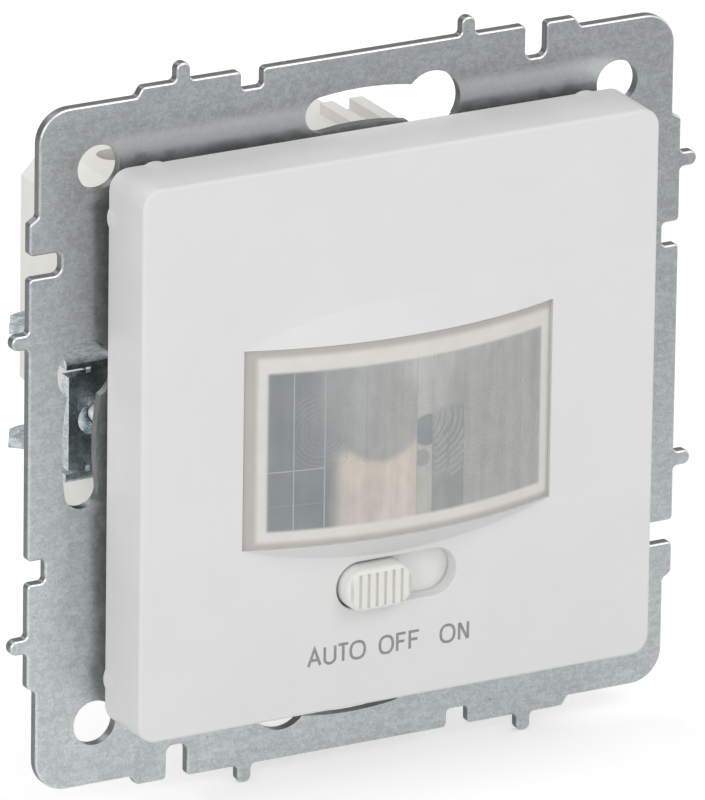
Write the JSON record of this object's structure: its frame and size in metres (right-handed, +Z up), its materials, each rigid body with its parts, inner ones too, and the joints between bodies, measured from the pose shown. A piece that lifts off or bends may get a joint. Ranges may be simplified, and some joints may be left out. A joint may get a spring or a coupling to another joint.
{
  "type": "motion sensor light switch",
  "caption": "Flush wall light switch with an infrared motion sensor behind a curved lens, a mode slider and a steel support plate with spreading claws.",
  "frame": {"origin": "centre of the support plate's screw-slot circle, in the plane of its rear face, which is the wall's face", "axes": "+X to the right, +Z up, +Y into the wall; the room is on the -Y side"},
  "size_m": [0.0744, 0.0388, 0.0744],
  "materials": {
    "galvanised_plate": "dull galvanised sheet with a fine spangle",
    "claw_zinc": "bright bluish zinc plating",
    "screw_steel": "zinc-plated, bright",
    "terminal_steel": "yellowish zinc plating",
    "cover_white": "satin",
    "knob_white": "satin",
    "lens_milky": "translucent, faceted inside",
    "housing_white": "matt moulded",
    "board_green": "solder mask over glass fibre",
    "can_nickel": "nickel-plated",
    "window_dark": "polished dark filter",
    "shroud_grey": "matt",
    "black_plastic": "matt",
    "sensor_ceramic": "glazed ceramic",
    "led_resin": "clear tinted resin",
    "dial_cream": "satin",
    "trimmer_blue": "satin",
    "gold_pin": "gold-flashed",
    "relay_blue": "satin",
    "film_yellow": "satin",
    "can_sleeve": "shrink sleeve",
    "varistor_blue": "dipped epoxy",
    "fuse_brown": "satin",
    "switch_steel": "tinned shell"
  },
  "bodies": {
    "housing": {"support_plate": "galvanised_plate", "front_housing": "housing_white", "rear_housing": "housing_white", "mode_switch_body": "switch_steel", "sensor_board": "board_green", "pir_sensor_can": "can_nickel", "pir_sensor_window": "window_dark", "sensor_shroud": "shroud_grey", "light_sensor": "sensor_ceramic", "status_led": "led_resin", "controller_chip": "black_plastic", "trimmer_bodies": "trimmer_blue", "board_link_pins": "gold_pin", "board_link_strip": "black_plastic", "power_board": "board_green", "relay": "relay_blue", "film_capacitor": "film_yellow", "can_capacitors": "can_sleeve", "varistor": "varistor_blue", "mains_fuse": "fuse_brown", "terminal_cages": "terminal_steel", "terminal_screws": "terminal_steel", "housing_screws": "screw_steel", "claw_pins": "screw_steel"},
    "cover_assembly": {"cover": "cover_white", "fresnel_lens": "lens_milky", "light_chimney": "housing_white"},
    "slider": {"slider_knob": "knob_white", "mode_switch_stem": "black_plastic"},
    "time_trimmer": {"time_dial": "dial_cream"},
    "light_trimmer": {"light_dial": "dial_cream"},
    "left_claw_body": {"left_claw": "claw_zinc"},
    "right_claw_body": {"right_claw": "claw_zinc"},
    "left_screw_body": {"left_claw_screw": "screw_steel"},
    "right_screw_body": {"right_claw_screw": "screw_steel"},
    "left_nut_body": {"left_claw_nut": "claw_zinc"},
    "right_nut_body": {"right_claw_nut": "claw_zinc"}
  },
  "joints": [
    {"name": "cover_pull", "type": "slide", "parent": "housing", "child": "cover_assembly", "axis": [0, -1, 0], "range_m": [0, 0.012]},
    {"name": "mode_slide", "type": "slide", "parent": "housing", "child": "slider", "axis": [1, 0, 0], "range_m": [0, 0.0052]},
    {"name": "time_dial_turn", "type": "hinge", "parent": "housing", "child": "time_trimmer", "pos_m": [-0.008, -0.0054, 0.0146], "axis": [0, 1, 0], "range_deg": [-135, 135]},
    {"name": "light_dial_turn", "type": "hinge", "parent": "housing", "child": "light_trimmer", "pos_m": [0.008, -0.0054, 0.0146], "axis": [0, 1, 0], "range_deg": [-135, 135]},
    {"name": "left_claw_nut_travel", "type": "slide", "parent": "housing", "child": "left_nut_body", "axis": [0, -1, 0], "range_m": [0, 0.0015]},
    {"name": "left_claw_screw_turn", "type": "hinge", "parent": "housing", "child": "left_screw_body", "pos_m": [-0.023, -0.001, 0], "axis": [0, 1, 0], "range_deg": [0, 1080]},
    {"name": "left_claw_spread", "type": "hinge", "parent": "housing", "child": "left_claw_body", "pos_m": [-0.0195, 0.009, 0], "axis": [0, 0, 1], "range_deg": [0, 24]},
    {"name": "right_claw_nut_travel", "type": "slide", "parent": "housing", "child": "right_nut_body", "axis": [0, -1, 0], "range_m": [0, 0.0015]},
    {"name": "right_claw_screw_turn", "type": "hinge", "parent": "housing", "child": "right_screw_body", "pos_m": [0.023, -0.001, 0], "axis": [0, 1, 0], "range_deg": [0, 1080]},
    {"name": "right_claw_spread", "type": "hinge", "parent": "housing", "child": "right_claw_body", "pos_m": [0.0195, 0.009, 0], "axis": [0, 0, -1], "range_deg": [0, 24]}
  ],
  "couplings": [
    {"joint": "left_claw_screw_turn", "follows": "left_claw_nut_travel", "rad_per_m": 12566},
    {"joint": "left_claw_spread", "follows": "left_claw_nut_travel", "rad_per_m": 279.25},
    {"joint": "right_claw_screw_turn", "follows": "right_claw_nut_travel", "rad_per_m": 12566},
    {"joint": "right_claw_spread", "follows": "right_claw_nut_travel", "rad_per_m": 279.25}
  ]
}
